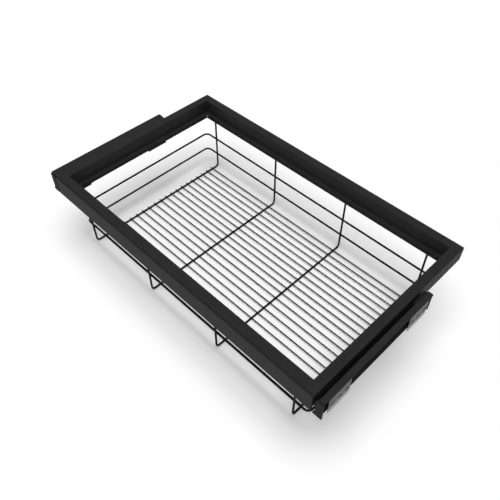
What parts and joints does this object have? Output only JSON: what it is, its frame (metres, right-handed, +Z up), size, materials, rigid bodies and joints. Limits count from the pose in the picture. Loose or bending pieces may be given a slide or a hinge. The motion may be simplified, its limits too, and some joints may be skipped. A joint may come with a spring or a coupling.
{
  "type": "pull-out cabinet basket",
  "caption": "Wire basket for a kitchen cabinet in a mitred black frame, with a hanging wire body, ball-bearing side slides, side housings and zinc mounting brackets; it pulls out to the front.",
  "frame": {"origin": "on the floor under the middle of the part's overall box, with the lowest wires resting on it", "axes": "+X to the right as seen from the front, -Y to the front (the way the basket pulls out), +Z up"},
  "size_m": [0.868, 0.494, 0.206],
  "materials": {
    "frame_black": "matt black powder coat on aluminium",
    "housing_black": "matt black powder coat on steel sheet",
    "wire_black": "satin black powder coat on steel wire",
    "zinc_plate": "dull zinc-plated steel sheet",
    "slide_black": "black electro-coated steel",
    "cage_steel": "plain steel strip",
    "ball_steel": "polished bearing steel",
    "cleat_aluminium": "raw cast aluminium",
    "fastener_steel": "zinc-plated steel",
    "screw_black": "black zinc-plated steel",
    "damper_plastic": "moulded black plastic"
  },
  "bodies": {
    "cabinet_side": {"left_housing": "housing_black", "right_housing": "housing_black", "left_end_plate": "housing_black", "right_end_plate": "housing_black", "left_front_bracket": "zinc_plate", "left_rear_bracket": "zinc_plate", "right_front_bracket": "zinc_plate", "right_rear_bracket": "zinc_plate", "bracket_screws": "fastener_steel", "left_cabinet_rail": "slide_black", "right_cabinet_rail": "slide_black", "housing_rivets": "screw_black", "rail_bumpers": "damper_plastic", "left_damper": "damper_plastic", "right_damper": "damper_plastic"},
    "left_middle": {"left_middle_rail": "slide_black"},
    "left_outer_bearing": {"left_outer_cage": "cage_steel", "left_outer_balls": "ball_steel"},
    "left_inner_bearing": {"left_inner_cage": "cage_steel", "left_inner_balls": "ball_steel"},
    "right_middle": {"right_middle_rail": "slide_black"},
    "right_outer_bearing": {"right_outer_cage": "cage_steel", "right_outer_balls": "ball_steel"},
    "right_inner_bearing": {"right_inner_cage": "cage_steel", "right_inner_balls": "ball_steel"},
    "basket": {"left_drawer_rail": "slide_black", "right_drawer_rail": "slide_black", "drawer_rivets": "fastener_steel", "front_member": "frame_black", "rear_member": "frame_black", "left_member": "frame_black", "right_member": "frame_black", "front_left_cleat": "cleat_aluminium", "front_right_cleat": "cleat_aluminium", "rear_left_cleat": "cleat_aluminium", "rear_right_cleat": "cleat_aluminium", "corner_screws": "screw_black", "front_fascia": "frame_black", "left_front_cover": "frame_black", "right_front_cover": "frame_black", "left_front_carrier": "frame_black", "left_rear_carrier": "frame_black", "right_front_carrier": "frame_black", "right_rear_carrier": "frame_black", "carrier_screws": "screw_black", "cross_wire_1": "wire_black", "cross_wire_2": "wire_black", "cross_wire_3": "wire_black", "cross_wire_4": "wire_black", "rim_wire": "wire_black", "upper_ring": "wire_black", "lower_ring": "wire_black", "floor_wires": "wire_black", "hanger_tabs": "wire_black", "tab_screws": "screw_black"}
  },
  "joints": [
    {"name": "basket_pull", "type": "slide", "parent": "cabinet_side", "child": "basket", "axis": [0, -1, 0], "range_m": [0, 0.32]},
    {"name": "left_middle_slide", "type": "slide", "parent": "cabinet_side", "child": "left_middle", "axis": [0, -1, 0], "range_m": [0, 0.16]},
    {"name": "left_outer_bearing_slide", "type": "slide", "parent": "cabinet_side", "child": "left_outer_bearing", "axis": [0, -1, 0], "range_m": [0, 0.08]},
    {"name": "left_inner_bearing_slide", "type": "slide", "parent": "cabinet_side", "child": "left_inner_bearing", "axis": [0, -1, 0], "range_m": [0, 0.24]},
    {"name": "right_middle_slide", "type": "slide", "parent": "cabinet_side", "child": "right_middle", "axis": [0, -1, 0], "range_m": [0, 0.16]},
    {"name": "right_outer_bearing_slide", "type": "slide", "parent": "cabinet_side", "child": "right_outer_bearing", "axis": [0, -1, 0], "range_m": [0, 0.08]},
    {"name": "right_inner_bearing_slide", "type": "slide", "parent": "cabinet_side", "child": "right_inner_bearing", "axis": [0, -1, 0], "range_m": [0, 0.24]}
  ],
  "couplings": [
    {"joint": "left_middle_slide", "follows": "basket_pull", "ratio": 0.5},
    {"joint": "left_outer_bearing_slide", "follows": "basket_pull", "ratio": 0.25},
    {"joint": "left_inner_bearing_slide", "follows": "basket_pull", "ratio": 0.75},
    {"joint": "right_middle_slide", "follows": "basket_pull", "ratio": 0.5},
    {"joint": "right_outer_bearing_slide", "follows": "basket_pull", "ratio": 0.25},
    {"joint": "right_inner_bearing_slide", "follows": "basket_pull", "ratio": 0.75}
  ]
}
